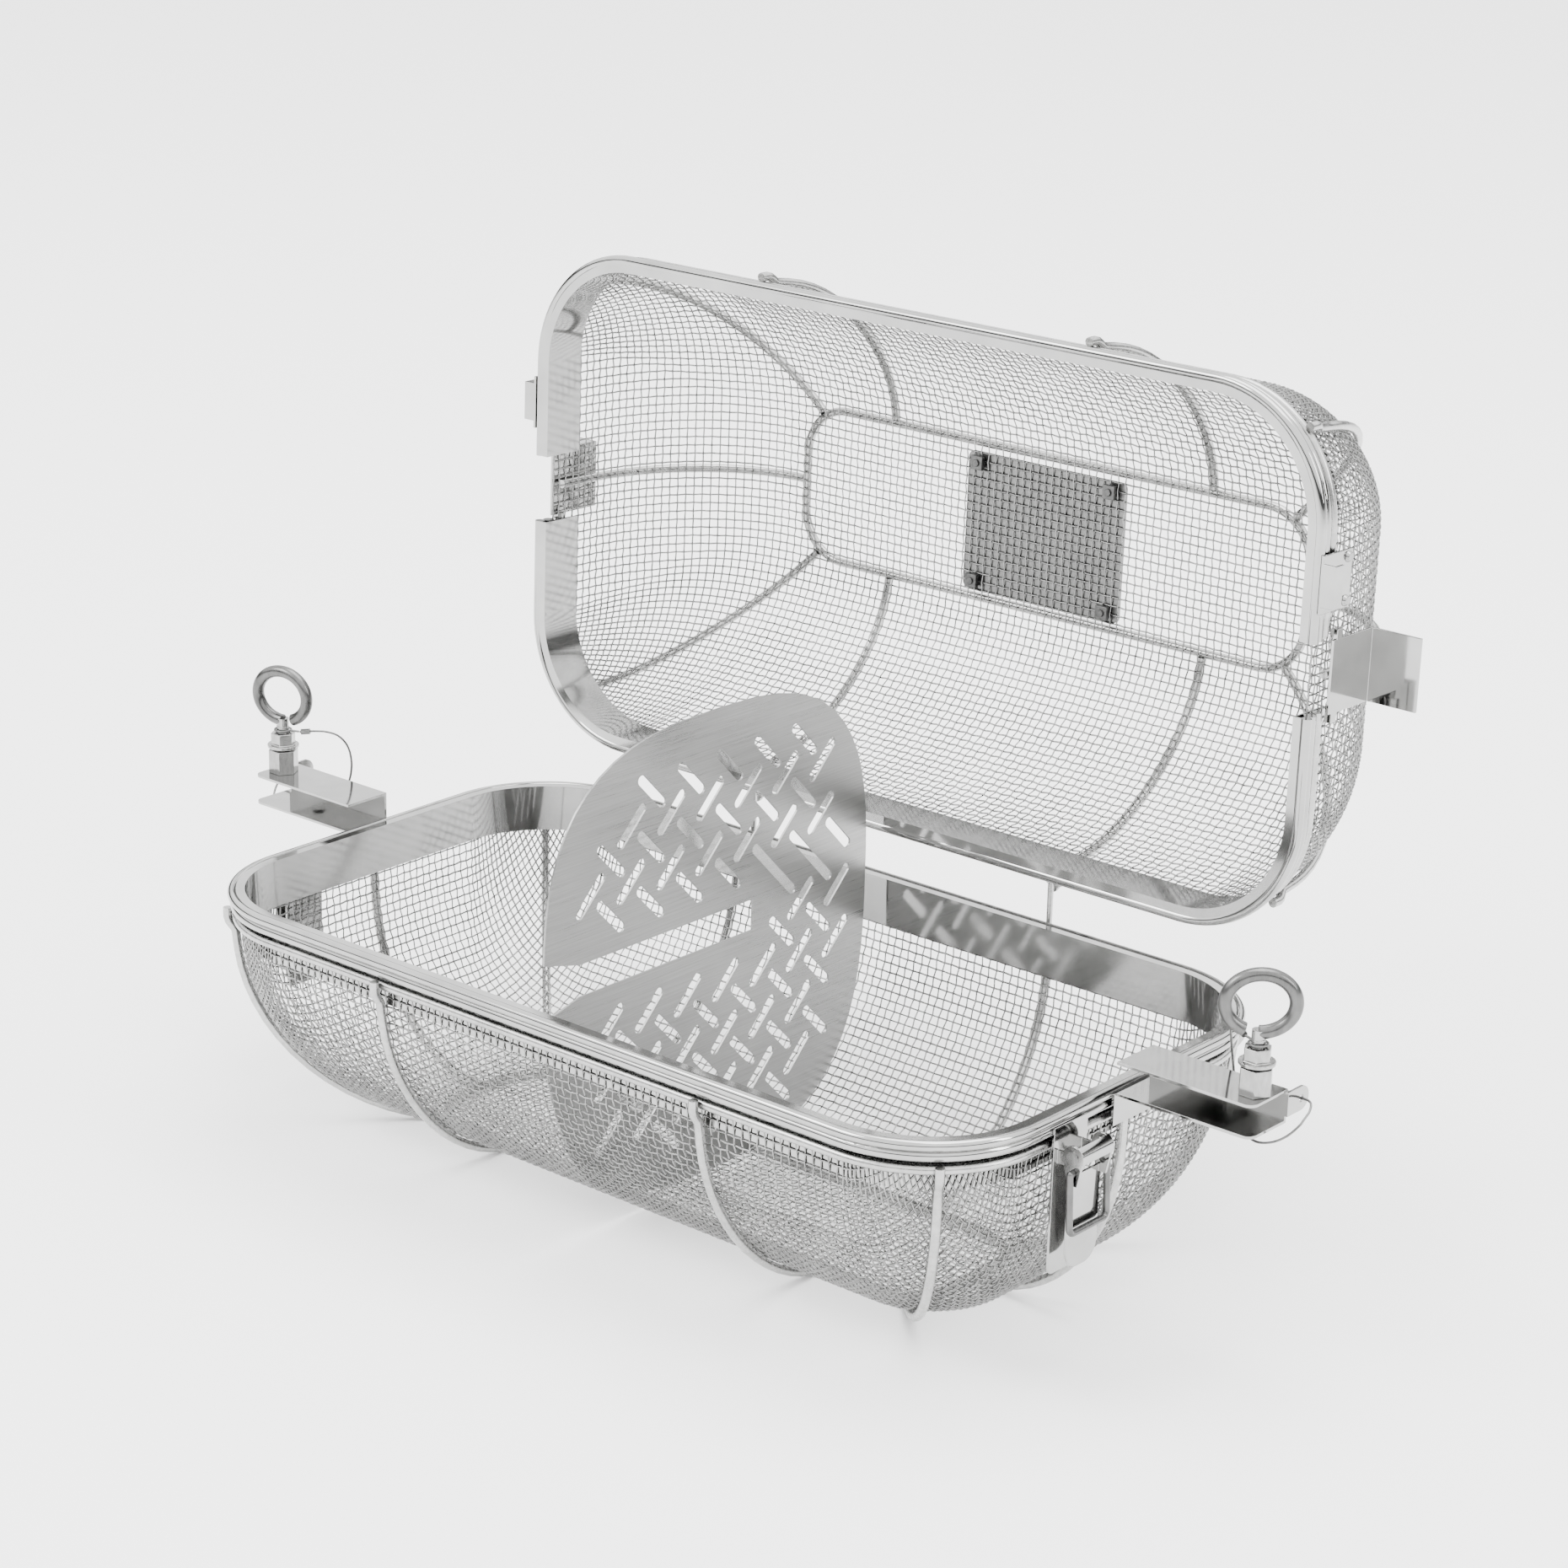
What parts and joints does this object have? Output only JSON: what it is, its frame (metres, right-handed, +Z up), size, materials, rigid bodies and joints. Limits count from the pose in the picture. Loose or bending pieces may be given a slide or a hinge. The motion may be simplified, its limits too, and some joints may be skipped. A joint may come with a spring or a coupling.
{
  "type": "rotisserie basket",
  "caption": "Long woven-wire rotisserie basket in two hinged half shells, with a spit clamp, eye screw and lever latch at each end and a slotted divider inside.",
  "frame": {"origin": "on the spit axis, midway along the basket, 4 mm above the lower rim plane", "axes": "+X along the spit, to the right as seen from the open side; +Y to the hinge; +Z up, with the lower half flat side down and the lid standing open"},
  "size_m": [0.5696, 0.3364, 0.3649],
  "materials": {
    "woven_wire": "satin",
    "polished_sheet": "gloss",
    "welded_wire": "satin",
    "brushed_sheet": "satin",
    "satin_plate": "satin",
    "polished_rod": "gloss",
    "hardware": "polished",
    "lanyard_wire": "satin"
  },
  "bodies": {
    "lower_basket": {"lower_mesh": "woven_wire", "lower_rim": "polished_sheet", "lower_rim_wire": "welded_wire", "lower_base_ring": "welded_wire", "lower_side_ribs": "welded_wire", "lower_corner_ribs": "welded_wire", "lower_end_ribs": "welded_wire", "spit_clamp_right": "polished_sheet", "spit_clamp_left": "polished_sheet", "weld_nut_right": "hardware", "weld_nut_left": "hardware", "lanyard_right": "lanyard_wire", "lanyard_left": "lanyard_wire", "lanyard_sleeves": "lanyard_wire", "hinge_posts": "welded_wire", "latch_base_right": "polished_sheet", "latch_base_left": "polished_sheet", "latch_pins": "hardware"},
    "lid": {"lid_mesh": "woven_wire", "lid_rim": "polished_sheet", "lid_rim_wire": "welded_wire", "lid_base_ring": "welded_wire", "lid_side_ribs": "welded_wire", "lid_corner_ribs": "welded_wire", "lid_end_ribs": "welded_wire", "lid_bracket_right": "polished_sheet", "lid_bracket_left": "polished_sheet", "catch_right": "polished_sheet", "catch_left": "polished_sheet", "catch_rivets": "hardware", "lid_plate": "satin_plate", "plate_fasteners": "hardware", "hinge_bars": "welded_wire"},
    "divider": {"divider": "brushed_sheet"},
    "screw_collar_right": {"lock_nut_right": "hardware", "lanyard_loop_right": "lanyard_wire"},
    "eye_screw_right": {"eye_screw_right": "polished_rod"},
    "latch_lever_right": {"latch_lever_right": "polished_sheet"},
    "latch_bail_right": {"latch_bail_right": "polished_rod"},
    "screw_collar_left": {"lock_nut_left": "hardware", "lanyard_loop_left": "lanyard_wire"},
    "eye_screw_left": {"eye_screw_left": "polished_rod"},
    "latch_lever_left": {"latch_lever_left": "polished_sheet"},
    "latch_bail_left": {"latch_bail_left": "polished_rod"}
  },
  "joints": [
    {"name": "lid_hinge", "type": "hinge", "parent": "lower_basket", "child": "lid", "pos_m": [0, 0.12055, 0.01185], "axis": [1, 0, 0], "range_deg": [0, 91]},
    {"name": "divider_slide", "type": "slide", "parent": "lower_basket", "child": "divider", "axis": [1, 0, 0], "range_m": [-0.08, 0.08]},
    {"name": "screw_feed_right", "type": "slide", "parent": "lower_basket", "child": "screw_collar_right", "axis": [0, 0, 1], "range_m": [-0.0008, 0.00358]},
    {"name": "screw_turn_right", "type": "hinge", "parent": "screw_collar_right", "child": "eye_screw_right", "pos_m": [0.269, 0, 0.03], "axis": [0, 0, 1], "range_deg": [-294, 1300]},
    {"name": "latch_lift_right", "type": "hinge", "parent": "lower_basket", "child": "latch_lever_right", "pos_m": [0.222, -0.04, -0.0185], "axis": [0, -1, 0], "range_deg": [0, 100]},
    {"name": "bail_swing_right", "type": "hinge", "parent": "latch_lever_right", "child": "latch_bail_right", "pos_m": [0.2226, -0.04, -0.0245], "axis": [0, 1, 0], "range_deg": [-190.5, 0]},
    {"name": "screw_feed_left", "type": "slide", "parent": "lower_basket", "child": "screw_collar_left", "axis": [0, 0, 1], "range_m": [-0.0008, 0.00358]},
    {"name": "screw_turn_left", "type": "hinge", "parent": "screw_collar_left", "child": "eye_screw_left", "pos_m": [-0.269, 0, 0.03], "axis": [0, 0, 1], "range_deg": [-294, 1300]},
    {"name": "latch_lift_left", "type": "hinge", "parent": "lower_basket", "child": "latch_lever_left", "pos_m": [-0.222, -0.04, -0.0185], "axis": [0, 1, 0], "range_deg": [0, 100]},
    {"name": "bail_swing_left", "type": "hinge", "parent": "latch_lever_left", "child": "latch_bail_left", "pos_m": [-0.2226, -0.04, -0.0245], "axis": [0, -1, 0], "range_deg": [-190.5, 0]}
  ],
  "couplings": [
    {"joint": "screw_turn_right", "follows": "screw_feed_right", "rad_per_m": 6283.2},
    {"joint": "screw_turn_left", "follows": "screw_feed_left", "rad_per_m": 6283.2}
  ]
}
